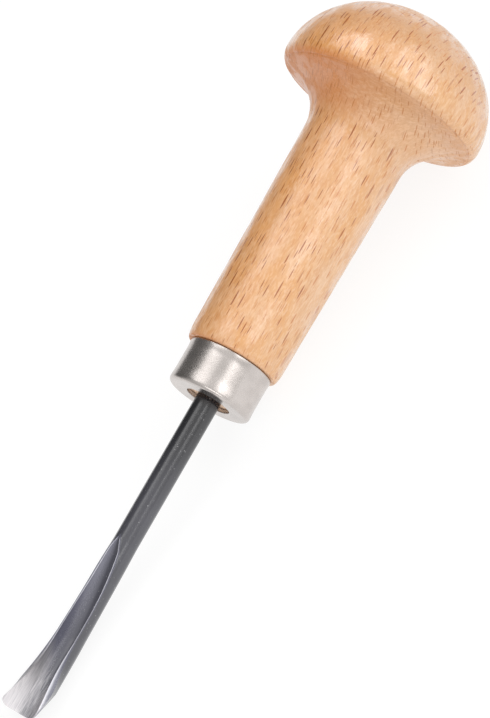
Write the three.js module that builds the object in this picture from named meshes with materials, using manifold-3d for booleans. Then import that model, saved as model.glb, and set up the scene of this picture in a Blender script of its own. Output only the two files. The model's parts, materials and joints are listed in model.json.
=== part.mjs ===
// A lino cutter: a turned beech palm handle, a drawn steel ferrule, and a forged steel gouge
// whose square tang is driven into the handle. Millimetres.
//
// The pieces are made in the tool's own frame: +X along the tool towards the cutting edge,
// +Z out of the gouge's mouth, and the origin in the middle of the ferrule's front face.
// The finished group lies as the tool lies on a bench, mouth upwards, on the rim of its head
// and on the heel of its gouge.

import * as THREE from 'three';
import { mergeVertices } from 'three/addons/utils/BufferGeometryUtils.js';
import Module from 'manifold-3d';

// The whole tool
const overallLength = 150;
const bladeReach = 66.7;
const handleReach = overallLength - bladeReach;
const turnedSteps = 48;
const fitGap = 0.1;

// Ferrule: a cup drawn from sheet, with a hole in its front face
const ferruleLength = 8.75;
const ferruleRadius = 8.3;
const ferruleWaist = { depth: 0.08, from: 0.35, to: 0.75, end: 0.93 };
const ferruleCorner = 0.8;
const ferruleHole = 4.4;
const sheet = 0.8;

// Handle: spigot, stem and mushroom head
const stemFrontRadius = 9.45;
const stemBackRadius = 10.13;
const stemEnd = { axial: 3, radial: 0.6 };
const coveStart = 54.2;
const coveRadius = 8.9;
const undersideLean = THREE.MathUtils.degToRad(70);
const rimStation = 65.9;
const headRadius = 20.42;
const rim = { axial: 2.42, radial: 2.02 };

// Blade: shank, tang and gouge
const shankRadius = 2.38;
const shankDepth = 7;
const tang = { length: 38, rootSide: 3.7, endSide: 1.7, corner: 0.25, neck: 3 };
const socketGap = 0.12;
const socketEnd = 1;
const groove = { start: 29.2, end: 50, floor: -1.88, wall: 0.45, lip: 0.98 };
const ramp = { entry: 0.2, ease: 1.3, trim: 0.2, trimBy: 0.3, levelFrom: 0.2, levelBy: 0.8 };
const swell = { start: 30.5, slope: 0.028 };
const sweep = { start: 32, end: 62, rise: 0.45 };
const mouth = { leanFrom: -20, leanBy: 64, leanEase: 1.2 };
const mouthInside = { shrink: 0.25, lift: 0.4, lipRise: 1.75, lipEase: 2.2 };
const mouthOutside = { grow: 0.9, lift: 1.25, liftEase: 1.5, lipRise: 0.2 };
const bevel = { length: 6, edge: 0.12, corner: 1.5 };
const barRadiusAtMouth = shankRadius + swell.slope * (groove.end - swell.start);

// How the blade's outlines are cut up: steps round the outside and across the mouth, half the
// angle of the cap that closes the bar, wide at the shank and narrow where the groove starts,
// and a lean so far in that an outline is an arc alone
const outsideSteps = 28;
const mouthSteps = 14;
const capHalfAngle = { shank: 60, groove: 5 };
const arcOnlyLean = -86;

const { clamp, lerp, smoothstep, degToRad } = THREE.MathUtils;
const quarter = Math.PI / 2;
const mergeWithin = 1e-5;

// ---------------------------------------------------------------- shared geometry

const wasm = await Module();
wasm.setup();

function toSolid(geometry) {
  const bare = geometry.clone();
  bare.deleteAttribute('normal');
  bare.deleteAttribute('uv');
  const merged = mergeVertices(bare, mergeWithin);
  const mesh = new wasm.Mesh({
    numProp: 3,
    vertProperties: new Float32Array(merged.attributes.position.array),
    triVerts: new Uint32Array(merged.index.array),
  });
  return new wasm.Manifold(mesh);
}

function toGeometry(solid) {
  const mesh = solid.getMesh();
  const geometry = new THREE.BufferGeometry();
  geometry.setAttribute('position', new THREE.BufferAttribute(mesh.vertProperties, 3));
  geometry.setIndex(new THREE.BufferAttribute(mesh.triVerts, 1));
  geometry.computeVertexNormals();
  return geometry;
}

// Turns a profile of [radius, distance behind the ferrule's face] about the tool's axis. The
// turning starts half a step round, so a flat of the head, and not a corner, faces the bench.
function turned(profile) {
  const points = profile.map(([radius, behind]) => new THREE.Vector2(radius, behind));
  const geometry = new THREE.LatheGeometry(points, turnedSteps, Math.PI / turnedSteps);
  geometry.rotateZ(quarter);
  return geometry;
}

// Points on an ellipse about a centre given as [radius, distance], from one angle to another:
// angle 0 points away from the axis and a quarter turn points towards the head.
function ellipse(centre, radial, axial, from, to, steps) {
  const points = [];
  for (let i = 0; i <= steps; i++) {
    const angle = lerp(from, to, i / steps);
    points.push([centre[0] + radial * Math.cos(angle), centre[1] + axial * Math.sin(angle)]);
  }
  return points;
}

// ---------------------------------------------------------------- handle

function handleProfile() {
  const spigotRadius = ferruleRadius - ferruleWaist.depth - sheet - fitGap;
  const shoulder = ferruleLength + fitGap;
  const stemTop = [stemFrontRadius - stemEnd.radial, shoulder + stemEnd.axial];
  const coveCentre = [stemBackRadius + coveRadius, coveStart];
  const rimCentre = [headRadius - rim.radial, rimStation];
  const rimStart = -Math.atan(Math.tan(undersideLean) * rim.axial / rim.radial);
  return [
    [0, sheet + fitGap],
    [spigotRadius, sheet + fitGap],
    [spigotRadius, shoulder],
    ...ellipse(stemTop, stemEnd.radial, stemEnd.axial, -quarter, 0, 4),
    ...ellipse(coveCentre, coveRadius, coveRadius, Math.PI, Math.PI - undersideLean, 7),
    ...ellipse(rimCentre, rim.radial, rim.axial, rimStart, 0, 5),
    ...ellipse([0, rimStation], headRadius, handleReach - rimStation, 0, quarter, 12).slice(1, -1),
    [0, handleReach],
  ];
}

// The handle is turned from one piece of beech. Its socket takes the shape of the tang.
function handleGeometry() {
  const socket = bladeLoft(socketStations(), socketGap);
  return toGeometry(toSolid(turned(handleProfile())).subtract(toSolid(socket)));
}

// ---------------------------------------------------------------- ferrule

function ferruleProfile() {
  const outer = ferruleRadius;
  const waist = ferruleRadius - ferruleWaist.depth;
  const inner = waist - sheet;
  const cornerCentre = [outer - ferruleCorner, ferruleCorner];
  return [
    [ferruleHole, 0],
    ...ellipse(cornerCentre, ferruleCorner, ferruleCorner, -quarter, 0, 5),
    [waist, ferruleLength * ferruleWaist.from],
    [waist, ferruleLength * ferruleWaist.to],
    [outer, ferruleLength * ferruleWaist.end],
    [outer, ferruleLength],
    [inner, ferruleLength],
    [inner, sheet],
    [ferruleHole, sheet],
    [ferruleHole, 0],
  ];
}

// ---------------------------------------------------------------- blade

// Half of a U, from the middle of its floor to its lip: an arc that runs on, in its own
// tangent, as a straight wall. The wall leans out from upright by lean, or in if it is negative.
function halfU({ radius, centre, lean, lip }, steps) {
  const fullTurn = quarter - lean;
  const wallFoot = centre - radius * Math.cos(fullTurn);
  const turn = lip < wallFoot ? Math.acos(clamp((centre - lip) / radius, -1, 1)) : fullTurn;
  const wall = Math.max(0, lip - wallFoot) / Math.cos(lean);
  const length = radius * turn + wall;
  const points = [];
  for (let i = 0; i <= steps; i++) {
    const travelled = length * i / steps;
    const angle = Math.min(travelled / radius, turn);
    const past = travelled - radius * angle;
    points.push([
      radius * Math.sin(angle) + past * Math.sin(lean),
      centre - radius * Math.cos(angle) + past * Math.cos(lean),
    ]);
  }
  return points;
}

// Joins an outside and an inside half U into one closed outline, lip to lip and back.
function outlineOf(outside, inside) {
  const mirror = ([across, up]) => [-across, up];
  const outer = halfU(outside, outsideSteps / 2);
  const inner = halfU(inside, mouthSteps / 2);
  return [
    ...outer.slice(1).reverse().map(mirror),
    ...outer,
    ...inner.slice().reverse(),
    ...inner.slice(1).map(mirror),
  ];
}

// The same closed outline where there is no groove: a cap closes it across the top.
function closedOutline(radiusAt, cap) {
  const angles = [];
  for (let i = 0; i <= outsideSteps; i++) {
    angles.push(lerp(cap - Math.PI, Math.PI - cap, i / outsideSteps));
  }
  for (let i = 0; i <= mouthSteps; i++) {
    angles.push(lerp(Math.PI - cap, Math.PI + cap, (i + 0.5) / (mouthSteps + 1)));
  }
  return angles.map((angle) => {
    const radius = radiusAt(angle);
    return [radius * Math.sin(angle), -radius * Math.cos(angle)];
  });
}

// Distance from the axis to a square bar's surface at an angle, its corners eased off.
function squareRadius(angle, side) {
  const reach = side / 2 / Math.max(Math.abs(Math.sin(angle)), Math.abs(Math.cos(angle)));
  return Math.min(reach, side / Math.SQRT2 - tang.corner);
}

// Shank and tang behind the groove: round bar that necks down to a tapered square.
function barOutline(station, gap) {
  const behindNeck = -shankDepth - tang.neck;
  const square = clamp((-station - shankDepth) / tang.neck, 0, 1);
  const taper = clamp((behindNeck - station) / (tang.length + behindNeck), 0, 1);
  const side = lerp(tang.rootSide, tang.endSide, taper);
  const narrowing = smoothstep(station, 0, groove.start);
  const cap = degToRad(lerp(capHalfAngle.shank, capHalfAngle.groove, narrowing));
  const radiusAt = (angle) => lerp(shankRadius, squareRadius(angle, side), square) + gap;
  return closedOutline(radiusAt, cap);
}

// Height at which the groove's circle crosses the bar's.
function crossing(outerRadius, innerRadius, innerCentre) {
  return (innerCentre ** 2 + outerRadius ** 2 - innerRadius ** 2) / (2 * innerCentre);
}

// The groove slopes in from the top of the bar, gently at first. Its lips are trimmed to flats
// a little below the crossing and then settle at the height they keep up to the mouth.
function grooveOutline(station) {
  const run = (station - groove.start) / (groove.end - groove.start);
  const depth = (1 - (1 - run) ** ramp.ease) * smoothstep(run, 0, ramp.entry);
  const outer = shankRadius + swell.slope * Math.max(0, station - swell.start);
  const inner = outer - groove.wall;
  const centre = lerp(outer, groove.floor, depth) + inner;
  const trimmed = crossing(outer, inner, centre) - ramp.trim * smoothstep(run, 0, ramp.trimBy);
  const lip = lerp(trimmed, groove.lip, smoothstep(run, ramp.levelFrom, ramp.levelBy));
  const lean = degToRad(arcOnlyLean);
  return outlineOf({ radius: outer, centre: 0, lean, lip }, { radius: inner, centre, lean, lip });
}

// Inside of the flared end at a share of its length: the floor and the lips rise.
function mouthInsideAt(flare, lean) {
  const inner = barRadiusAtMouth - groove.wall;
  return {
    radius: inner - mouthInside.shrink * flare ** 2,
    centre: groove.floor + inner + mouthInside.lift * flare ** 2,
    lean,
    lip: groove.lip + mouthInside.lipRise * flare ** mouthInside.lipEase,
  };
}

// Outside of the flared end. The bevel takes the steel down to a thin edge, and there the lips
// stand square to the walls.
function mouthOutsideAt(flare, lean, inside, ground) {
  const radius = barRadiusAtMouth + mouthOutside.grow * flare;
  const centre = mouthOutside.lift * flare ** mouthOutside.liftEase;
  const lip = groove.lip + mouthOutside.lipRise * flare;
  return {
    radius: lerp(radius, inside.radius + bevel.edge, ground),
    centre: lerp(centre, inside.centre, ground),
    lean,
    lip: lerp(lip, inside.lip - bevel.edge * Math.sin(lean), ground),
  };
}

// The flared end, whose walls lean out further and further and whose corners are rounded off.
function mouthOutline(station) {
  const flare = (station - groove.end) / (bladeReach - groove.end);
  const leanShare = Math.sin(quarter * flare ** mouth.leanEase);
  const lean = degToRad(mouth.leanFrom + mouth.leanBy * leanShare);
  const ground = clamp((station - bladeReach + bevel.length) / bevel.length, 0, 1);
  const inside = mouthInsideAt(flare, lean);
  const outside = mouthOutsideAt(flare, lean, inside, ground);
  const round = clamp((station - bladeReach + bevel.corner) / bevel.corner, 0, 1);
  const drop = bevel.corner * (1 - Math.sqrt(1 - round ** 2));
  inside.lip -= drop;
  outside.lip -= drop;
  return outlineOf(outside, inside);
}

function outlineAt(station, gap) {
  if (station <= groove.start) return barOutline(station, gap);
  if (station <= groove.end) return grooveOutline(station);
  return mouthOutline(station);
}

// The gouge sweeps up a little towards its mouth.
function sweepAt(station) {
  return sweep.rise * smoothstep(station, sweep.start, sweep.end);
}

function spread(from, to, steps) {
  return Array.from({ length: steps + 1 }, (_, i) => lerp(from, to, i / steps));
}

function bladeStations() {
  return [
    -tang.length,
    ...spread(-shankDepth - tang.neck, -shankDepth, 2),
    ...spread(0, groove.start, 3),
    ...spread(groove.start + 0.3, groove.end, 16),
    ...spread(groove.end + 1, bladeReach - bevel.length, 8),
    ...spread(bladeReach - bevel.length + 1.5, bladeReach - bevel.corner, 2),
    ...spread(bladeReach - bevel.corner * 0.6, bladeReach - 0.02, 3),
  ];
}

function socketStations() {
  return [-tang.length - socketEnd, -shankDepth - tang.neck, -shankDepth, 0];
}

function capTriangles(ring) {
  const corners = ring.map((point) => new THREE.Vector2(...point));
  return THREE.ShapeUtils.triangulateShape(corners, []);
}

// Skins a closed solid over the outlines at the stations, with a flat cap on each end.
function bladeLoft(stations, gap) {
  const rings = stations.map((station) => outlineAt(station, gap));
  const count = rings[0].length;
  const positions = [];
  rings.forEach((ring, i) => {
    const rise = sweepAt(stations[i]);
    ring.forEach(([across, up]) => positions.push(stations[i], across, up + rise));
  });
  const index = [];
  for (let i = 0; i + 1 < rings.length; i++) {
    for (let k = 0; k < count; k++) {
      const a = i * count + k;
      const b = i * count + (k + 1) % count;
      index.push(a, b, a + count, b, b + count, a + count);
    }
  }
  const last = (rings.length - 1) * count;
  capTriangles(rings[0]).forEach(([a, b, c]) => index.push(a, c, b));
  capTriangles(rings.at(-1)).forEach(([a, b, c]) => index.push(last + a, last + b, last + c));
  const geometry = new THREE.BufferGeometry();
  geometry.setAttribute('position', new THREE.Float32BufferAttribute(positions, 3));
  geometry.setIndex(index);
  geometry.computeVertexNormals();
  return geometry;
}

// ---------------------------------------------------------------- assembly

function piece(name, geometry, color, roughness, metalness) {
  const material = new THREE.MeshStandardMaterial({ color, roughness, metalness });
  const mesh = new THREE.Mesh(geometry, material);
  mesh.name = name;
  return mesh;
}

// Lowest height that a piece reaches when the tool's cutting edge is tipped down by an angle.
function lowest(geometry, tip) {
  const position = geometry.attributes.position;
  let low = Infinity;
  for (let i = 0; i < position.count; i++) {
    low = Math.min(low, position.getZ(i) * Math.cos(tip) - position.getX(i) * Math.sin(tip));
  }
  return low;
}

// The tip at which the rim of the head and the heel of the gouge touch the bench together.
function restingTip(head, gouge) {
  let low = 0;
  let high = degToRad(20);
  for (let i = 0; i < 40; i++) {
    const tip = (low + high) / 2;
    if (lowest(head, tip) < lowest(gouge, tip)) low = tip;
    else high = tip;
  }
  return low;
}

const handle = piece('handle', handleGeometry(), 0xd9ab78, 0.35, 0);
const ferrule = piece('ferrule', turned(ferruleProfile()), 0xb9b4ae, 0.28, 1);
const blade = piece('blade', bladeLoft(bladeStations(), 0), 0x3b3c40, 0.42, 0.9);

const tool = new THREE.Group();
tool.rotation.y = restingTip(handle.geometry, blade.geometry);
tool.add(handle, ferrule, blade);

const linoCutter = new THREE.Group();
linoCutter.add(tool);
const box = new THREE.Box3().setFromObject(linoCutter, true);
const middle = box.getCenter(new THREE.Vector3());
tool.position.set(-middle.x, -middle.y, -box.min.z);

export default linoCutter;
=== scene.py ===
"""A lino cutter lying on a pale bench top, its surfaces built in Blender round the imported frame.

Shapes are worked out in millimetres in the tool's own frame: +X along the tool towards the
cutting edge, +Z out of the gouge's mouth, and the origin in the middle of the ferrule's front
face. One matrix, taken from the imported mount, carries them to the row frame in metres.
"""

import json
import math

import bmesh
import bpy
from mathutils import Matrix, Vector


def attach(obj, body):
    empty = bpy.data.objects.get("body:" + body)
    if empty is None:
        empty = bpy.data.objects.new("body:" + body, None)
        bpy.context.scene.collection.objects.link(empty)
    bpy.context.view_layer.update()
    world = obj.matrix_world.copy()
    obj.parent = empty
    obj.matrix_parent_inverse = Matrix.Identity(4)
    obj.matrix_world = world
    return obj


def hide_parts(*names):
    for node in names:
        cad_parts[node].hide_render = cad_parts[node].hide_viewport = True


MM = 0.001
QUARTER = math.pi / 2

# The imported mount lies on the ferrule's face, this many millimetres above the axis
MOUNT_RADIUS = 6

# The sizes of the real tool, in millimetres. An EASE is a power instead, and WAIST_FULL_BY,
# WAIST_FULL_TO, WAIST_EASES_OVER, RAMP_ENTRY, TRIMMED_BY, LEVEL_FROM and LEVEL_BY are shares of
# the length of what they shape. A CAP is half the angle that closes the bar's outline on top.
OVERALL_LENGTH = 150
BLADE_REACH = 66.7
HANDLE_REACH = OVERALL_LENGTH - BLADE_REACH

FERRULE_LENGTH = 8.75
FERRULE_RADIUS = 8.3
FERRULE_WAIST = 0.08
WAIST_FULL_BY = 0.3
WAIST_FULL_TO = 0.82
WAIST_EASES_OVER = 0.14
FERRULE_CORNER = 0.8
FERRULE_HOLE = 4.4
FERRULE_EDGE = 0.12
SHEET = 0.8
FIT_GAP = 0.1

STEM_FRONT_RADIUS = 9.45
STEM_BACK_RADIUS = 10.13
STEM_END_AXIAL = 3
STEM_END_RADIAL = 0.6
COVE_START = 54.2
COVE_RADIUS = 8.9
UNDERSIDE_LEAN = math.radians(70)
RIM_STATION = 65.9
RIM_AXIAL = 2.42
RIM_RADIAL = 2.02
CREASE_DEPTH = 0.17
CREASE_WIDTH = 0.6
HEAD_RADIUS = 20.42
SOCKET_RADIUS = 2.45
SOCKET_DEPTH = 39.5

SHANK_RADIUS = 2.38
SHANK_DEPTH = 7
TANG_LENGTH = 38
TANG_ROOT_SIDE = 3.7
TANG_END_SIDE = 1.7
TANG_CORNER = 0.25
TANG_NECK = 3
SHANK_CAP = math.radians(60)
GROOVE_CAP = math.radians(5)
CAP_NARROWS_FROM = 6
GROOVE_START = 29.2
GROOVE_END = 50
GROOVE_FLOOR = -1.88
GROOVE_WALL = 0.45
GROOVE_LIP = 0.98
RAMP_ENTRY = 0.2
RAMP_EASE = 1.3
LIP_TRIM = 0.2
TRIMMED_BY = 0.3
LEVEL_FROM = 0.2
LEVEL_BY = 0.8
SWELL_START = 30.5
SWELL_SLOPE = 0.028
SWEEP_START = 32
SWEEP_END = 62
SWEEP_RISE = 0.45
MOUTH_BAR_RADIUS = SHANK_RADIUS + SWELL_SLOPE * (GROOVE_END - SWELL_START)
MOUTH_LEAN_FROM = math.radians(-20)
MOUTH_LEAN_BY = math.radians(64)
MOUTH_LEAN_EASE = 1.2
INSIDE_SHRINK = 0.25
INSIDE_LIFT = 0.4
INSIDE_LIP_RISE = 1.75
INSIDE_LIP_EASE = 2.2
OUTSIDE_GROW = 0.9
OUTSIDE_LIFT = 1.25
OUTSIDE_LIFT_EASE = 1.5
OUTSIDE_LIP_RISE = 0.2
ARC_ONLY_LEAN = math.radians(-86)
BEVEL_LENGTH = 6
BEVEL_EDGE = 0.12
BEVEL_CORNER = 1.5

# Where the steel's black is ground off. Lengths are in millimetres along the tool, places are
# shares of the way from the right lip to the left, and the rest are shares of the full effect.
GROUND_START = 48.2
GROUND_SLANT = 9
GROUND_FADE = 12
# Painted shade: a share of the black kept on the mouth's floor, where the ground steel looks darker
FLOOR_BLACK_AS_SHADE = 0.55
FLOOR_AT = 0.54
FLOOR_WIDTH = 0.19
LIP_GROUND = 0.25
EDGE_LENGTH = 1.4
EDGE_GROUND = 0.8

# Where the black is rubbed grey, given in the same way; the grey on the groove's left wall is also
# painted light, and the inner lips' full share is a painted highlight
RUBBED_FADE = 1.5
OUTER_LIP_RUBBED = 0.5
INNER_LIP_RUBBED_AND_HIGHLIGHT = 1.0
FLOOR_RUBBED = 0.1
WALL_RUBBED_AND_PAINTED_LIGHT = 0.66
WALL_FROM = 0.35
WALL_FADE = 0.6

# How far the beech blank's growth rings are turned about the tool's axis, how far to each side
# of the axis its tone changes, partly its own colour and partly painted light and shade, and where
# the band of painted shade at the crease lies
BLANK_ROLL = math.radians(28)
SIDE_TONE_REACH = 11
CREASE_SHADE_START = 61.8
CREASE_SHADE_FULL = 63.6
CREASE_SHADE_EASE = 63.8
CREASE_SHADE_END = 64.2

# How finely the meshes are cut: steps round a turned shape, and round the outside and inside of
# a blade outline. The groove's first outline is FIRST_CUT past its start, and the rounded corner
# of the edge stops at LAST_CUT of a quarter turn, before its outline runs flat.
TURNED_STEPS = 224
OUTSIDE_STEPS = 112
MOUTH_STEPS = 64
OUTLINE_POINTS = OUTSIDE_STEPS + MOUTH_STEPS + 2
FIRST_CUT = 0.1
LAST_CUT = 0.985

# The view: the tool's axis leans this far from level across the picture, the mouth is turned
# this far from the camera round the tool, and the tip comes this far out towards the camera.
# The picture shows VIEW_TALL millimetres at the tool, from its top to its bottom, and its middle
# is a point that far behind the ferrule's face and aside.
PICTURE_LEAN = math.radians(59.95)
MOUTH_TURN = math.radians(42)
TIP_TOWARDS_CAMERA = math.radians(11.9)
CAMERA_DISTANCE = 825
VIEW_TALL = 131.6094
AIM_BEHIND_FACE = 10.34
AIM_ASIDE = 2.01
SENSOR = 36

# The softboxes aim at the point of the axis this far behind the ferrule's face
LIT_BEHIND_FACE = 30


def clamp(value, low=0.0, high=1.0):
    return max(low, min(high, value))


def mix(a, b, share):
    return a + (b - a) * share


def smooth(value):
    share = clamp(value)
    return share * share * (3 - 2 * share)


def spread(start, end, steps):
    return [mix(start, end, i / steps) for i in range(steps + 1)]


def set_range(ramp, low, high, start, end):
    """Makes a Map Range node carry low and high to start and end."""
    for name, value in (("From Min", low), ("From Max", high), ("To Min", start), ("To Max", end)):
        ramp.inputs[name].default_value = value


# ---------------------------------------------------------------- frame

def tool_matrix(record):
    """Carries millimetres in the tool's frame to metres in the row frame."""
    mount = next(m for m in record["mounts"] if m["name"] == "ferrule_face")
    ahead = Vector(mount["axis"]).normalized()
    side = Vector((0, 1, 0))
    up = ahead.cross(side)
    face = Vector(mount["pos_m"]) - up * MOUNT_RADIUS * MM
    turn = Matrix((ahead, side, up)).transposed().to_4x4()
    return Matrix.Translation(face) @ turn @ Matrix.Scale(MM, 4)


def view_axes():
    """Directions in the tool's frame, as the camera sees it: across, out of and along it to the head."""
    turn_cos, turn_sin = math.cos(MOUTH_TURN), math.sin(MOUTH_TURN)
    across = Vector((0, turn_cos, -turn_sin))
    outward = Vector((0, turn_sin, turn_cos))
    return across, outward, Vector((-1, 0, 0))


# ---------------------------------------------------------------- camera, light and floor

def add_camera(place):
    across, outward, to_head = view_axes()
    tip_cos, tip_sin = math.cos(TIP_TOWARDS_CAMERA), math.sin(TIP_TOWARDS_CAMERA)
    back = outward * tip_cos - to_head * tip_sin
    along = to_head * tip_cos + outward * tip_sin
    lean_cos, lean_sin = math.cos(PICTURE_LEAN), math.sin(PICTURE_LEAN)
    right = along * lean_cos + across * lean_sin
    up = along * lean_sin - across * lean_cos
    aim = to_head * AIM_BEHIND_FACE + across * AIM_ASIDE
    turn = place.to_3x3() * (1 / MM)
    data = bpy.data.cameras.new("camera")
    data.sensor_fit = "VERTICAL"
    data.sensor_height = SENSOR
    data.lens = SENSOR * CAMERA_DISTANCE / VIEW_TALL
    data.clip_start = 0.05
    data.clip_end = 20
    camera = bpy.data.objects.new("camera", data)
    axes = Matrix((turn @ right, turn @ up, turn @ back)).transposed().to_4x4()
    spot = place @ (aim + back * CAMERA_DISTANCE)
    camera.matrix_world = Matrix.Translation(spot) @ axes
    bpy.context.scene.collection.objects.link(camera)
    bpy.context.scene.camera = camera


def seen_direction(place, across, outward, to_head):
    """A direction in the row frame, from its shares along the three view axes."""
    side, out, head = view_axes()
    return (place.to_3x3() @ (side * across + out * outward + head * to_head)).normalized()


def add_softbox(place, name, start, end, distance, wide, radiance):
    """A strip of light, aimed at the stem, that stretches from one seen direction to another."""
    start = seen_direction(place, *start)
    end = seen_direction(place, *end)
    back = (start + end).normalized()
    long_axis = (end - start).normalized()
    short_axis = long_axis.cross(back).normalized()
    long = distance * (end - start).length
    data = bpy.data.lights.new(name, "AREA")
    data.shape = "RECTANGLE"
    data.size = wide
    data.size_y = long
    data.energy = radiance * math.pi * wide * long
    light = bpy.data.objects.new(name, data)
    turn = Matrix((short_axis, long_axis, back)).transposed().to_4x4()
    target = place @ (view_axes()[2] * LIT_BEHIND_FACE)
    light.matrix_world = Matrix.Translation(target + back * distance) @ turn
    bpy.context.scene.collection.objects.link(light)


def add_softboxes(place):
    """Four strips of light, their ends given as shares across, out of and along the seen tool."""
    add_softbox(place, "left", start=(-0.65, 0.75, 0.1), end=(-0.67, 0.61, 0.35),
                distance=0.75, wide=0.5, radiance=1.1)
    add_softbox(place, "high_left", start=(-0.75, 0.5, 0.36), end=(-0.7, 0.3, 0.66),
                distance=0.75, wide=0.42, radiance=2.9)
    add_softbox(place, "top", start=(0.45, 0.88, 0.15), end=(-0.1, 0.45, 0.87),
                distance=0.8, wide=0.58, radiance=1.7)
    add_softbox(place, "front", start=(-0.4, 0.8, -0.48), end=(0.4, 0.8, -0.48),
                distance=0.8, wide=0.22, radiance=1.9)


def add_world(place):
    """White surroundings, brightest in front, with a dark patch to the left that darkens the metal."""
    world = bpy.data.worlds.new("studio")
    world.use_nodes = True
    tree = world.node_tree
    tree.nodes.clear()
    out = tree.nodes.new("ShaderNodeOutputWorld")
    background = tree.nodes.new("ShaderNodeBackground")
    coordinate = tree.nodes.new("ShaderNodeTexCoord")

    def towards(direction, low, high, start, end):
        dot = tree.nodes.new("ShaderNodeVectorMath")
        dot.operation = "DOT_PRODUCT"
        dot.inputs[1].default_value = direction
        tree.links.new(coordinate.outputs["Generated"], dot.inputs[0])
        ramp = tree.nodes.new("ShaderNodeMapRange")
        ramp.interpolation_type = "SMOOTHSTEP"
        set_range(ramp, low, high, start, end)
        tree.links.new(dot.outputs["Value"], ramp.inputs["Value"])
        return ramp.outputs["Result"]

    product = tree.nodes.new("ShaderNodeMath")
    product.operation = "MULTIPLY"
    left = seen_direction(place, -0.95, -0.22, 0.2)
    front = seen_direction(place, 0.15, 1, 0.1)
    dark_side = towards(left, low=0.6, high=0.96, start=1.0, end=0.22)
    in_front = towards(front, low=-0.2, high=0.95, start=0.6, end=0.8)
    tree.links.new(dark_side, product.inputs[0])
    tree.links.new(in_front, product.inputs[1])
    tree.links.new(product.outputs[0], background.inputs["Strength"])
    tree.links.new(background.outputs[0], out.inputs[0])
    background.inputs["Color"].default_value = (1, 0.995, 0.985, 1)
    bpy.context.scene.world = world


def add_floor():
    """A bench top 6 m square that glows a little, so that it comes out white."""
    reach = 3
    corners = [(-reach, -reach, 0), (reach, -reach, 0), (reach, reach, 0), (-reach, reach, 0)]
    mesh = bpy.data.meshes.new("floor")
    mesh.from_pydata(corners, [], [(0, 1, 2, 3)])
    floor = bpy.data.objects.new("floor", mesh)
    bpy.context.scene.collection.objects.link(floor)
    material = bpy.data.materials.new("bench_top")
    material.use_nodes = True
    looks = {
        "Base Color": (0.16, 0.16, 0.16, 1),
        "Roughness": 0.8,
        "Specular IOR Level": 0.1,
        "Emission Color": (1, 1, 1, 1),
        "Emission Strength": 0.86,
    }
    for name, value in looks.items():
        material.node_tree.nodes["Principled BSDF"].inputs[name].default_value = value
    mesh.materials.append(material)


# ---------------------------------------------------------------- meshes

def make_piece(name, node, shape, place, sharp):
    """A piece that stands for a CAD node; edges that turn by more than sharp degrees stay sharp."""
    vertices, faces = shape
    mesh = bpy.data.meshes.new(name)
    mesh.from_pydata([place @ Vector(v) for v in vertices], [], faces)
    editing = bmesh.new()
    editing.from_mesh(mesh)
    bmesh.ops.recalc_face_normals(editing, faces=editing.faces)
    bmesh.ops.triangulate(editing, faces=[f for f in editing.faces if len(f.verts) > 4])
    editing.to_mesh(mesh)
    editing.free()
    mesh.shade_smooth()
    mesh.set_sharp_from_angle(angle=math.radians(sharp))
    piece = bpy.data.objects.new(name, mesh)
    bpy.context.scene.collection.objects.link(piece)
    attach(piece, "root")
    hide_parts(node)
    return piece


def turned_shape(profile, closed):
    """Vertices and faces of a profile turned round the axis.

    Its points are (radius, distance behind the ferrule's face), and one on the axis gives one vertex.
    """
    vertices = []
    rings = []
    for radius, behind in profile:
        steps = TURNED_STEPS if radius else 1
        rings.append(range(len(vertices), len(vertices) + steps))
        for i in range(steps):
            angle = 2 * math.pi * i / steps
            vertices.append((-behind, radius * math.sin(angle), radius * math.cos(angle)))
    faces = []
    pairs = list(zip(rings, rings[1:]))
    if closed:
        pairs.append((rings[-1], rings[0]))
    for a, b in pairs:
        for i in range(TURNED_STEPS):
            k = (i + 1) % TURNED_STEPS
            corners = [a[i % len(a)], a[k % len(a)], b[k % len(b)], b[i % len(b)]]
            faces.append(list(dict.fromkeys(corners)))
    return vertices, faces


def ellipse(centre, radial, axial, start, end, steps):
    """Profile points on an ellipse: angle 0 points away from the axis, and a quarter turn to the head."""
    return [
        (centre[0] + radial * math.cos(angle), centre[1] + axial * math.sin(angle))
        for angle in spread(start, end, steps)
    ]


def straight(start, end, steps):
    """Points between two others, without the ends."""
    return [
        (mix(start[0], end[0], i / steps), mix(start[1], end[1], i / steps))
        for i in range(1, steps)
    ]


def handle_profile():
    """From the end of the socket to its mouth, out over the spigot, and along to the top of the head."""
    spigot = FERRULE_RADIUS - FERRULE_WAIST - SHEET - FIT_GAP
    front = SHEET + FIT_GAP
    shoulder = FERRULE_LENGTH + FIT_GAP
    end_centre = (STEM_FRONT_RADIUS - STEM_END_RADIAL, shoulder + STEM_END_AXIAL)
    cove_centre = (STEM_BACK_RADIUS + COVE_RADIUS, COVE_START)
    rim_centre = (HEAD_RADIUS - RIM_RADIAL, RIM_STATION)
    rim_start = -math.atan(math.tan(UNDERSIDE_LEAN) * RIM_AXIAL / RIM_RADIAL)
    stem_end = ellipse(end_centre, STEM_END_RADIAL, STEM_END_AXIAL, -QUARTER, 0, steps=16)
    cove = ellipse(cove_centre, COVE_RADIUS, COVE_RADIUS, math.pi, math.pi - UNDERSIDE_LEAN, steps=28)
    rim = ellipse(rim_centre, RIM_RADIAL, RIM_AXIAL, rim_start, 0, steps=32)
    dome = ellipse((0, RIM_STATION), HEAD_RADIUS, HANDLE_REACH - RIM_STATION, 0, QUARTER, steps=72)
    socket_end = (SOCKET_RADIUS, SOCKET_DEPTH)
    socket_mouth = (SOCKET_RADIUS, front)
    spigot_front = (spigot, front)
    return [
        (0, SOCKET_DEPTH),
        socket_end,
        *straight(socket_end, socket_mouth, steps=20),
        socket_mouth,
        *straight(socket_mouth, spigot_front, steps=6),
        spigot_front,
        (spigot, shoulder),
        *stem_end,
        *straight(stem_end[-1], cove[0], steps=40),
        *cove,
        *straight(cove[-1], rim[0], steps=12)[:-1],
        *crease(rim),
        *dome[1:-1],
        (0, HANDLE_REACH),
    ]


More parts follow.
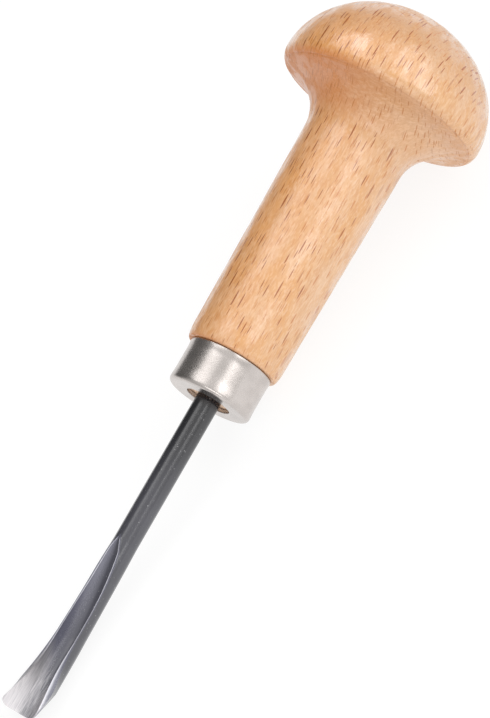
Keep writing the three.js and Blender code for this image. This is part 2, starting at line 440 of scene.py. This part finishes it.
def crease(rim):
    """The rim with a shallow turned line cut where it meets the underside of the head."""
    half = CREASE_WIDTH / 2
    points = []
    for radius, behind in rim:
        away = math.dist((radius, behind), rim[0]) - half
        cut = CREASE_DEPTH * max(0, 1 - abs(away) / half)
        points.append((radius, behind + cut))
    return points


def ferrule_profile():
    """The cup from the front edge of its hole, along the outside to its back, and back inside."""
    waist = FERRULE_RADIUS - FERRULE_WAIST
    inner = waist - SHEET
    edge = FERRULE_EDGE
    corner = (FERRULE_RADIUS - FERRULE_CORNER, FERRULE_CORNER)
    wall_end = FERRULE_LENGTH - edge
    hole_front = ellipse((FERRULE_HOLE + edge, edge), edge, edge, math.pi, math.pi + QUARTER, steps=6)
    hole_back = ellipse((FERRULE_HOLE + edge, SHEET - edge), edge, edge, QUARTER, math.pi, steps=4)
    bend = ellipse(corner, FERRULE_CORNER, FERRULE_CORNER, -QUARTER, 0, steps=16)
    back = ellipse((FERRULE_RADIUS - edge, wall_end), edge, edge, 0, QUARTER, steps=6)
    wall = [
        (FERRULE_RADIUS - FERRULE_WAIST * waist_share(share), mix(FERRULE_CORNER, wall_end, share))
        for share in spread(0, 1, steps=24)
    ]
    return [
        *hole_front,
        *straight(hole_front[-1], bend[0], steps=8),
        *bend,
        *wall[1:-1],
        *back,
        (inner, FERRULE_LENGTH),
        (inner, SHEET),
        *hole_back,
    ]


def waist_share(share):
    """How much of the ferrule's shallow waist is cut at a share of its length."""
    return smooth(share / WAIST_FULL_BY) * (1 - smooth((share - WAIST_FULL_TO) / WAIST_EASES_OVER))


def half_u(shape, steps):
    """Half of a U from the middle of its floor to its lip: an arc, then a straight leaning wall.

    A shape is the arc's radius, its centre's height, the wall's lean and the lip's height.
    """
    radius, centre, lean, lip = shape
    full_turn = QUARTER - lean
    wall_foot = centre - radius * math.cos(full_turn)
    turn = full_turn
    if lip < wall_foot:
        turn = math.acos(clamp((centre - lip) / radius, -1, 1))
    wall = max(0, lip - wall_foot) / math.cos(lean)
    points = []
    for travelled in spread(0, radius * turn + wall, steps):
        angle = min(travelled / radius, turn)
        past = travelled - radius * angle
        points.append((
            radius * math.sin(angle) + past * math.sin(lean),
            centre - radius * math.cos(angle) + past * math.cos(lean),
        ))
    return points


def closed_outline(radius_at, cap):
    """The bar's outline where there is no groove; a cap of that half angle closes it across the top."""
    across_cap = [(i + 0.5) / (MOUTH_STEPS + 1) for i in range(MOUTH_STEPS + 1)]
    angles = spread(cap - math.pi, math.pi - cap, OUTSIDE_STEPS)
    angles += [mix(math.pi - cap, math.pi + cap, share) for share in across_cap]
    return [(radius_at(a) * math.sin(a), -radius_at(a) * math.cos(a)) for a in angles]


def outline_of(outside, inside):
    """Two U shapes joined: under the outside from the left lip to the right, and back inside."""
    outer = half_u(outside, OUTSIDE_STEPS // 2)
    inner = half_u(inside, MOUTH_STEPS // 2)
    return (
        [(-y, z) for y, z in reversed(outer[1:])]
        + outer
        + inner[::-1]
        + [(-y, z) for y, z in inner[1:]]
    )


def bar_outline(station):
    """Shank and tang behind the groove: round bar that necks down to a tapered square."""
    neck_end = -SHANK_DEPTH - TANG_NECK
    square = smooth((-station - SHANK_DEPTH) / TANG_NECK)
    taper = clamp((neck_end - station) / (TANG_LENGTH + neck_end))
    side = mix(TANG_ROOT_SIDE, TANG_END_SIDE, taper)
    narrowing = smooth((station - CAP_NARROWS_FROM) / (GROOVE_START - CAP_NARROWS_FROM))
    cap = mix(SHANK_CAP, GROOVE_CAP, narrowing)

    def radius_at(angle):
        reach = side / 2 / max(abs(math.sin(angle)), abs(math.cos(angle)))
        return mix(SHANK_RADIUS, min(reach, side / math.sqrt(2) - TANG_CORNER), square)

    return closed_outline(radius_at, cap)


def crossing(outer, inner, centre):
    """Height at which the groove's circle crosses the bar's."""
    return (centre ** 2 + outer ** 2 - inner ** 2) / (2 * centre)


def groove_outline(station):
    """The groove slopes in from the bar's top; its lips are trimmed flat and then level off."""
    run = (station - GROOVE_START) / (GROOVE_END - GROOVE_START)
    depth = (1 - (1 - run) ** RAMP_EASE) * smooth(run / RAMP_ENTRY)
    outer = SHANK_RADIUS + SWELL_SLOPE * max(0, station - SWELL_START)
    inner = outer - GROOVE_WALL
    centre = mix(outer, GROOVE_FLOOR, depth) + inner
    trimmed = crossing(outer, inner, centre) - LIP_TRIM * smooth(run / TRIMMED_BY)
    lip = mix(trimmed, GROOVE_LIP, smooth((run - LEVEL_FROM) / (LEVEL_BY - LEVEL_FROM)))
    return outline_of((outer, 0, ARC_ONLY_LEAN, lip), (inner, centre, ARC_ONLY_LEAN, lip))


def mouth_inside(flare):
    """Radius, centre and lip height inside the flared end, at a share of its length."""
    inner = MOUTH_BAR_RADIUS - GROOVE_WALL
    radius = inner - INSIDE_SHRINK * flare ** 2
    centre = GROOVE_FLOOR + inner + INSIDE_LIFT * flare ** 2
    return radius, centre, GROOVE_LIP + INSIDE_LIP_RISE * flare ** INSIDE_LIP_EASE


def mouth_outline(station):
    """The flared end: leaning walls, a floor that lifts, rounded corners, and the bevel outside."""
    flare = (station - GROOVE_END) / (BLADE_REACH - GROOVE_END)
    lean = MOUTH_LEAN_FROM + MOUTH_LEAN_BY * math.sin(QUARTER * flare ** MOUTH_LEAN_EASE)
    radius, centre, lip = mouth_inside(flare)
    ground = clamp((station - BLADE_REACH + BEVEL_LENGTH) / BEVEL_LENGTH)
    outside_radius = mix(MOUTH_BAR_RADIUS + OUTSIDE_GROW * flare, radius + BEVEL_EDGE, ground)
    outside_centre = mix(OUTSIDE_LIFT * flare ** OUTSIDE_LIFT_EASE, centre, ground)
    outside_lip = mix(GROOVE_LIP + OUTSIDE_LIP_RISE * flare, lip - BEVEL_EDGE * math.sin(lean), ground)
    rounding = clamp((station - BLADE_REACH + BEVEL_CORNER) / BEVEL_CORNER)
    drop = BEVEL_CORNER * (1 - math.sqrt(1 - rounding ** 2))
    return outline_of(
        (outside_radius, outside_centre, lean, outside_lip - drop),
        (radius, centre, lean, lip - drop),
    )


def blade_outline(station):
    """Points (side, height) round the blade, as many at every station."""
    if station <= GROOVE_START:
        return bar_outline(station)
    if station <= GROOVE_END:
        return groove_outline(station)
    return mouth_outline(station)


def blade_stations():
    """Where the outlines stand along the blade, closest together where its shape changes most."""
    bevel_start = BLADE_REACH - BEVEL_LENGTH
    corner_start = BLADE_REACH - BEVEL_CORNER
    turns = spread(0, QUARTER * LAST_CUT, steps=14)
    corner = [corner_start + BEVEL_CORNER * math.sin(turn) for turn in turns]
    return [
        *spread(-TANG_LENGTH, -SHANK_DEPTH - TANG_NECK, steps=10),
        *spread(-SHANK_DEPTH - TANG_NECK, -SHANK_DEPTH, steps=8)[1:],
        *spread(-SHANK_DEPTH, GROOVE_START, steps=40)[1:],
        *spread(GROOVE_START + FIRST_CUT, GROOVE_END, steps=84),
        *spread(GROOVE_END, bevel_start, steps=32)[1:],
        *spread(bevel_start, corner_start, steps=14)[1:],
        *corner[1:],
    ]


def blade_shape(stations):
    """Vertices and faces of the outlines joined from the tang's end to the cutting edge."""
    vertices = []
    for station in stations:
        rise = SWEEP_RISE * smooth((station - SWEEP_START) / (SWEEP_END - SWEEP_START))
        vertices += [(station, y, z + rise) for y, z in blade_outline(station)]
    last = len(vertices) - OUTLINE_POINTS
    faces = []
    for first in range(0, last, OUTLINE_POINTS):
        for k in range(OUTLINE_POINTS):
            a = first + k
            b = first + (k + 1) % OUTLINE_POINTS
            faces.append((a, b, b + OUTLINE_POINTS, a + OUTLINE_POINTS))
    faces.append(range(OUTLINE_POINTS))
    faces.append(range(len(vertices) - 1, last - 1, -1))
    return vertices, faces


def finish_shares(station, k):
    """At point k of a blade outline: how far the black is ground off, and how far it is rubbed grey,
    which also carries painted light.

    The inside of the mouth is ground, along its left wall first, and outside only the edge is; black
    kept on the mouth's floor is painted shade. In the groove the left wall is rubbed grey and painted
    lighter as painted light, and the lips most of all; on the inner lips it is a painted highlight.
    """
    outer_lip = k in (0, OUTSIDE_STEPS)
    inner_lip = k in (OUTSIDE_STEPS + 1, OUTLINE_POINTS - 1)
    if k < OUTSIDE_STEPS and not outer_lip:
        return EDGE_GROUND * smooth((station - BLADE_REACH + EDGE_LENGTH) / EDGE_LENGTH), 0.0
    leftwards = clamp((k - OUTSIDE_STEPS - 1) / MOUTH_STEPS) if k else 1.0
    ground = smooth((station - GROUND_START - GROUND_SLANT * (1 - leftwards)) / GROUND_FADE)
    # Painted shade: black kept on the mouth's floor darkens it
    ground *= 1 - FLOOR_BLACK_AS_SHADE * math.exp(-((leftwards - FLOOR_AT) / FLOOR_WIDTH) ** 2)
    in_groove = smooth((station - GROOVE_START) / RUBBED_FADE)
    if outer_lip:
        return LIP_GROUND * ground, OUTER_LIP_RUBBED * in_groove
    # The inner lips' full share paints a near-white highlight
    if inner_lip:
        return ground, INNER_LIP_RUBBED_AND_HIGHLIGHT * in_groove
    # Painted light: the groove's left wall is greyed lighter than its floor, as the light falls on it
    on_wall = smooth((leftwards - WALL_FROM) / WALL_FADE)
    return ground, mix(FLOOR_RUBBED, WALL_RUBBED_AND_PAINTED_LIGHT, on_wall) * in_groove


def mark_finish(piece, stations):
    """Stores both shares at each vertex, for the material to read."""
    shares = [finish_shares(station, k) for station in stations for k in range(OUTLINE_POINTS)]
    for name, values in zip(("ground", "rubbed_and_painted_light"), zip(*shares)):
        attribute = piece.data.attributes.new(name, "FLOAT", "POINT")
        attribute.data.foreach_set("value", values)


# ---------------------------------------------------------------- material building blocks

class Paint:
    """A material's node tree, with short calls that add a node, join it up and return its output.

    A value given to one is a number, a colour, a vector or another node's output.
    """

    def __init__(self, name, place):
        self.material = bpy.data.materials.new(name)
        self.material.use_nodes = True
        self.tree = self.material.node_tree
        self.shader = self.tree.nodes["Principled BSDF"]
        self.place = place

    def add(self, kind, settings=None, **inputs):
        """The new node itself, its inputs given by name, or by number as _0, _1 and so on."""
        node = self.tree.nodes.new(kind)
        for name, value in (settings or {}).items():
            setattr(node, name, value)
        for name, value in inputs.items():
            key = int(name[1:]) if name[1:].isdigit() else name.replace("_", " ")
            self.put(node.inputs[key], value)
        return node

    def put(self, socket, value):
        if isinstance(value, bpy.types.NodeSocket):
            self.tree.links.new(value, socket)
        else:
            socket.default_value = value

    def coordinates(self, roll=0.0):
        """Millimetres in the tool's frame, turned about its axis by roll."""
        back = Matrix.Rotation(roll, 4, "X") @ self.place.inverted()
        found = self.add("ShaderNodeTexCoord").outputs["Object"]
        mapping = self.add("ShaderNodeMapping", Vector=found)
        mapping.inputs["Location"].default_value = back.translation
        mapping.inputs["Rotation"].default_value = back.to_euler()
        mapping.inputs["Scale"].default_value = back.to_scale()
        return mapping.outputs[0]

    def facing(self, direction):
        """How far the surface faces a direction of the tool's frame: 1 straight on, -1 away from it."""
        normal = self.add("ShaderNodeTexCoord").outputs["Normal"]
        fixed = (self.place.to_3x3() @ direction).normalized()
        dot = self.add("ShaderNodeVectorMath", {"operation": "DOT_PRODUCT"}, _0=normal, _1=fixed)
        return dot.outputs["Value"]

    def vector(self, operation, a, b):
        return self.add("ShaderNodeVectorMath", {"operation": operation}, _0=a, _1=b).outputs[0]

    def math(self, operation, a, b=0.0, c=0.0):
        return self.add("ShaderNodeMath", {"operation": operation}, _0=a, _1=b, _2=c).outputs[0]

    def times(self, a, b):
        return self.math("MULTIPLY", a, b)

    def ramp(self, value, low, high, start=0.0, end=1.0):
        """A smooth step of value from low to high, carried to start and end."""
        node = self.add("ShaderNodeMapRange", {"interpolation_type": "SMOOTHSTEP"}, Value=value)
        set_range(node, low, high, start, end)
        return node.outputs[0]

    def noise(self, where, scale, detail=2.0, rough=0.5):
        """Noise that is finer as scale grows; three scales draw it out along the tool's axes."""
        if isinstance(scale, tuple):
            where = self.vector("MULTIPLY", where, scale)
            scale = 1.0
        node = self.add("ShaderNodeTexNoise", Vector=where, Scale=scale, Detail=detail)
        node.inputs["Roughness"].default_value = rough
        return node.outputs[0]

    def blend(self, share, a, b):
        """Colour a turned into colour b by a share."""
        return self.add("ShaderNodeMix", {"data_type": "RGBA"}, _0=share, _6=a, _7=b).outputs[2]

    def bump(self, height, distance, strength):
        return self.add("ShaderNodeBump", Height=height, Distance=distance, Strength=strength).outputs[0]

    def finish(self, **inputs):
        for name, value in inputs.items():
            self.put(self.shader.inputs[name.replace("_", " ")], value)
        return self.material


def colour(red, green, blue):
    """A colour given as it looks on a screen, 0 to 255, as the linear values that a shader takes."""
    def linear(channel):
        share = channel / 255
        return share / 12.92 if share <= 0.04045 else ((share + 0.055) / 1.055) ** 2.4
    return (linear(red), linear(green), linear(blue), 1.0)


# ---------------------------------------------------------------- beech

BEECH = {
    "early_wood": colour(218, 166, 114),
    "late_wood": colour(209, 154, 99),
    "wander": colour(216, 153, 84),
    "mottle": colour(226, 184, 145),
    "fibre": colour(204, 138, 78),
    "fuzz": colour(238, 199, 162),
    "orange_side": colour(240, 163, 92),
    "pale_side": colour(210, 172, 132),
    # Painted shade: darker copies of the side tones, for the underside of the head
    "shaded_orange_side": colour(204, 116, 50),
    "shaded_pale_side": colour(221, 174, 135),
    # The dome's darker tone: partly its end grain, partly painted shade
    "dome": colour(180, 128, 80),
    "sanded": colour(240, 198, 160),
    "crease_shade": colour(184, 110, 58),
    "blotch": colour(196, 128, 66),
    "faint_ray": colour(188, 114, 48),
    "dark_ray": colour(156, 80, 4),
    "end_grain_and_painted_light": colour(255, 220, 190),
}

# Kinds of ray: the space each has to itself and its half sizes, in millimetres along the tool,
# across the rays and along them, the share that shows, and a shift that sets where they fall
RAYS = {
    "blotch": {"cell": (12, 6, 7), "half": (1.6, 0.5, 0.8), "keep": 0.5, "shift": (3.4, 1.7, 0.6)},
    "faint": {"cell": (2.6, 0.75, 2.2), "half": (1.2, 0.1, 0.95), "keep": 1, "shift": (0.3, 0.7, 0.1)},
    "dark": {"cell": (3.9, 1.25, 2.8), "half": (1.75, 0.13, 1.3), "keep": 1, "shift": (7.1, 2.3, 5.2)},
}


def rays(paint, where, cell, half, keep, shift):
    """Spindles scattered one to a cell, which vary in size and of which about a share keep shows."""
    smallest = 0.6
    varies_by = 0.65
    shown_over = 0.4
    spot = paint.vector("ADD", paint.vector("DIVIDE", where, cell), shift)
    voronoi = paint.add("ShaderNodeTexVoronoi", {"feature": "F1"}, Vector=spot, Scale=1.0)
    offset = paint.vector("SUBTRACT", spot, voronoi.outputs["Position"])
    offset = paint.vector("DIVIDE", paint.vector("MULTIPLY", offset, cell), half)
    reach = paint.add("ShaderNodeVectorMath", {"operation": "LENGTH"}, _0=offset).outputs["Value"]
    chances = paint.add("ShaderNodeSeparateColor", Color=voronoi.outputs["Color"]).outputs
    shown = paint.ramp(chances[0], 1 - keep, 1 - keep + shown_over)
    size = paint.math("MULTIPLY_ADD", chances[1], varies_by, smallest)
    body = paint.ramp(paint.math("DIVIDE", reach, size), 0.7, 1.05, 1.0, 0.0)
    return paint.times(body, shown)


def growth_rings(paint, where):
    wave = {"Scale": 1.0, "Distortion": 5.0, "Detail": 2.0, "Detail_Scale": 1.2}
    stretched = paint.vector("MULTIPLY", where, (0.012, 0.06, 0.085))
    rings = paint.add("ShaderNodeTexWave", {"bands_direction": "Z"}, Vector=stretched, **wave)
    return rings.outputs["Fac"]


def beech_grain(paint, where, fibre):
    """The wood between its rays: rings, slow and mottled changes of tone, fibre and pale fuzz."""
    wander = paint.noise(where, (0.07, 0.18, 0.18), detail=3)
    mottle = paint.noise(where, (0.16, 0.4, 0.4), detail=3)
    fuzz = paint.noise(where, (0.9, 3, 3))
    late = paint.ramp(growth_rings(paint, where), 0, 1, 0, 0.6)
    tone = paint.blend(late, BEECH["early_wood"], BEECH["late_wood"])
    tone = paint.blend(paint.ramp(wander, 0.38, 0.66, 0, 0.9), tone, BEECH["wander"])
    tone = paint.blend(paint.ramp(mottle, 0.44, 0.66, 0, 0.6), tone, BEECH["mottle"])
    tone = paint.blend(paint.ramp(fibre, 0.34, 0.54, 0.75, 0), tone, BEECH["fibre"])
    return paint.blend(paint.ramp(fuzz, 0.46, 0.66, 0, 0.5), tone, BEECH["fuzz"])


def beech_regions(paint, where, tone, facing, underside):
    """An oranger and a paler side, partly the wood's own tone and partly painted light and shade; the
    dome darker, partly its end grain and partly painted shade; painted shade on the underside of the
    head, with its pale sanding marks; and a band of painted shade at the crease.
    """
    parts = paint.add("ShaderNodeSeparateXYZ", Vector=where).outputs
    # One side oranger and the other paler: partly the wood's own tone, partly painted light and shade
    # across the handle
    side_share = paint.ramp(parts["Y"], -SIDE_TONE_REACH, SIDE_TONE_REACH)
    lit = paint.blend(side_share, BEECH["orange_side"], BEECH["pale_side"])
    shaded = paint.blend(side_share, BEECH["shaded_orange_side"], BEECH["shaded_pale_side"])
    tone = paint.blend(0.3, tone, lit)
    # Painted shade: the underside of the head takes the darker shaded copy
    tone = paint.blend(paint.times(underside, 0.6), tone, shaded)
    # Painted shade: the dome, facing the head end, is darkened, partly as its darker end grain
    tone = paint.blend(paint.ramp(facing, 0.05, -0.8, 0, 0.55), tone, BEECH["dome"])
    marks = paint.ramp(paint.noise(where, (0.9, 0.9, 2.2), detail=4, rough=0.65), 0.44, 0.66)
    marks = paint.times(paint.times(marks, underside), paint.ramp(parts["Y"], -8, 4, 0.1, 0.5))
    tone = paint.blend(marks, tone, BEECH["sanded"])
    # Painted shade: a darker band on the underside of the head where it meets the rim at the crease
    crease_shade_share = paint.ramp(parts["X"], -CREASE_SHADE_START, -CREASE_SHADE_FULL)
    crease_shade_share = paint.times(crease_shade_share, paint.ramp(parts["X"], -CREASE_SHADE_END, -CREASE_SHADE_EASE))
    return paint.blend(paint.times(crease_shade_share, 0.2), tone, BEECH["crease_shade"])


def beech_rays(paint, where, tone, dark, underside):
    """Blotches and rays; the dark ones fade on the underside and where they show their flat sides."""
    across_rays = Matrix.Rotation(-BLANK_ROLL, 3, "X") @ Vector((0, 1, 0))
    broadside = paint.math("ABSOLUTE", paint.facing(across_rays))
    shown = paint.times(paint.ramp(underside, 0, 1, 1, 0.25), paint.ramp(broadside, 0.72, 0.96, 1, 0.35))
    blotches = paint.times(rays(paint, where, **RAYS["blotch"]), 0.5)
    faint = paint.times(rays(paint, where, **RAYS["faint"]), 0.75)
    tone = paint.blend(blotches, tone, BEECH["blotch"])
    tone = paint.blend(faint, tone, BEECH["faint_ray"])
    return paint.blend(paint.times(dark, shown), tone, BEECH["dark_ray"])


def beech_material(place):
    """Lacquered beech; the clear coat lies unevenly, and thin on the underside of the head."""
    paint = Paint("lacquered_beech", place)
    where = paint.coordinates(roll=BLANK_ROLL)
    facing = paint.facing(Vector((1, 0, 0)))
    underside = paint.ramp(facing, 0.1, 0.7)
    fibre = paint.noise(where, (0.4, 3.6, 3.6))
    dark = rays(paint, where, **RAYS["dark"])
    along = paint.add("ShaderNodeSeparateXYZ", Vector=where).outputs["X"]

    tone = beech_grain(paint, where, fibre)
    tone = beech_regions(paint, where, tone, facing, underside)
    tone = beech_rays(paint, where, tone, dark, underside)
    # The spigot's bare end grain in the ferrule's hole, lightened further as painted light against the
    # hole's shade
    tone = paint.blend(paint.ramp(along, -1.6, -1.2), tone, BEECH["end_grain_and_painted_light"])

    film = paint.ramp(paint.noise(where, (0.14, 0.45, 0.45), detail=3, rough=0.6), 0.42, 0.58, 0.55, 1)
    waves = paint.noise(where, (0.5, 0.9, 0.9), detail=4, rough=0.65)
    pits = paint.math("ADD", paint.times(dark, -0.5), paint.times(fibre, 0.35))
    return paint.finish(
        Base_Color=tone,
        Roughness=paint.ramp(film, 0.6, 1, 0.55, 0.28),
        Normal=paint.bump(pits, 0.04 * MM, 0.5),
        Coat_Weight=paint.times(paint.ramp(facing, 0.1, 0.7, 1, 0.16), film),
        Coat_IOR=1.8,
        Coat_Roughness=0.17,
        Coat_Normal=paint.bump(waves, 0.15 * MM, 0.9),
    )


# ---------------------------------------------------------------- metals

NICKEL = {
    "dark": colour(198, 191, 187),
    "light": colour(208, 201, 197),
    "spot": colour(150, 142, 134),
}

STEEL = {
    "black": colour(58, 58, 64),
    "worn_black": colour(76, 76, 84),
    "painted_shade_near_ferrule": colour(18, 18, 22),
    "rubbed_and_painted_light": colour(124, 124, 141),
    # Painted highlight: near white for the inner lips
    "lip": colour(225, 225, 233),
    "speck": colour(165, 165, 167),
    "ground": colour(206, 203, 206),
    "bright_ground": colour(228, 225, 227),
}


def nickel_material(place):
    paint = Paint("nickel_plate", place)
    where = paint.coordinates()
    cloud = paint.ramp(paint.noise(where, (0.5, 0.35, 0.35), detail=3), 0.3, 0.7)
    grain = paint.noise(where, 3.2, rough=0.6)
    spots = paint.ramp(paint.noise(where, 2.2), 0.66, 0.75)
    tone = paint.blend(cloud, NICKEL["dark"], NICKEL["light"])
    return paint.finish(
        Base_Color=paint.blend(paint.times(spots, 0.35), tone, NICKEL["spot"]),
        Metallic=1.0,
        Roughness=paint.ramp(grain, 0.3, 0.75, 0.24, 0.3),
        Normal=paint.bump(grain, 0.05 * MM, 0.2),
    )


def black_tone(paint, where, rubbed_and_painted_light):
    """The forge black, with painted shade near the ferrule, grey where it is rubbed and where painted
    light lightens the groove's left wall, and a painted highlight on the inner lips.
    """
    cloud = paint.noise(where, (0.25, 0.8, 0.8), detail=3)
    specks = paint.ramp(paint.noise(where, 2.6, detail=1), 0.72, 0.76)
    along = paint.add("ShaderNodeSeparateXYZ", Vector=where).outputs["X"]
    tone = paint.blend(cloud, STEEL["black"], STEEL["worn_black"])
    # Painted shade: the bar is darkened towards the ferrule, which shades it
    tone = paint.blend(paint.ramp(along, 4, 26, 0.85, 0), tone, STEEL["painted_shade_near_ferrule"])
    # Rubbed grey, and on the groove's left wall painted light
    tone = paint.blend(rubbed_and_painted_light, tone, STEEL["rubbed_and_painted_light"])
    # Painted highlight: the inner lips turn near white
    tone = paint.blend(paint.ramp(rubbed_and_painted_light, 0.7, 1), tone, STEEL["lip"])
    return paint.blend(paint.times(specks, 0.6), tone, STEEL["speck"])


def steel_material(place):
    """Blackened bar with painted shade near the ferrule, rubbed grey in the groove with painted light on
    its left wall and a painted highlight on its inner lips, and the black ground off inside the mouth,
    some kept on the floor as painted shade.
    """
    paint = Paint("blackened_steel", place)
    where = paint.coordinates()
    ground = paint.add("ShaderNodeAttribute", {"attribute_name": "ground"}).outputs["Fac"]
    rubbed_and_painted_light = paint.add("ShaderNodeAttribute", {"attribute_name": "rubbed_and_painted_light"}).outputs["Fac"]
    scratches = paint.noise(where, (0.16, 7, 7), detail=3, rough=0.65)
    grain = paint.noise(where, 6, rough=0.6)

    uneven = paint.times(paint.ramp(scratches, 0.3, 0.7, -0.16, 0.16), paint.ramp(ground, 0, 0.4))
    bare = paint.ramp(paint.math("ADD", ground, uneven), 0.02, 1)
    black = black_tone(paint, where, rubbed_and_painted_light)
    bright = paint.blend(paint.ramp(scratches, 0.3, 0.7), STEEL["ground"], STEEL["bright_ground"])
    black_gloss = paint.math("ADD", paint.ramp(grain, 0.3, 0.75, 0.12, 0.2), paint.times(rubbed_and_painted_light, 0.22))
    rough = paint.add("ShaderNodeMix", {"data_type": "FLOAT"}, _0=bare, _2=black_gloss, _3=0.5)
    height = paint.math("ADD", paint.times(grain, 0.4), paint.times(scratches, bare))
    return paint.finish(
        Base_Color=paint.blend(bare, black, bright),
        Metallic=bare,
        IOR=1.8,
        Roughness=rough.outputs[0],
        Normal=paint.bump(height, 0.08 * MM, 0.4),
    )


# ---------------------------------------------------------------- the object

def add_handle(place):
    shape = turned_shape(handle_profile(), closed=False)
    piece = make_piece("handle_beech", "handle", shape, place, sharp=35)
    piece.data.materials.append(beech_material(place))


def add_ferrule(place):
    shape = turned_shape(ferrule_profile(), closed=True)
    piece = make_piece("ferrule_nickel", "ferrule", shape, place, sharp=35)
    piece.data.materials.append(nickel_material(place))


def add_blade(place):
    stations = blade_stations()
    piece = make_piece("blade_gouge", "blade", blade_shape(stations), place, sharp=30)
    mark_finish(piece, stations)
    piece.data.materials.append(steel_material(place))


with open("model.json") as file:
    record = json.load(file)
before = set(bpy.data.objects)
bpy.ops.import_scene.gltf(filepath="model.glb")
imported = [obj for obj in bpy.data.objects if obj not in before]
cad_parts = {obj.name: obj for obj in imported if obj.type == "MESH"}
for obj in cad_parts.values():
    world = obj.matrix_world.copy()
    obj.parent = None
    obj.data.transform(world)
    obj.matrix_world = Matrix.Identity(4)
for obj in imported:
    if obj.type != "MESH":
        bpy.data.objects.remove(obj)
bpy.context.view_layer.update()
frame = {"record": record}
place = tool_matrix(frame["record"])

add_camera(place)
add_world(place)
add_softboxes(place)
add_floor()
add_handle(place)
add_ferrule(place)
add_blade(place)

view = bpy.context.scene.view_settings
view.view_transform = "Standard"
view.look = "None"
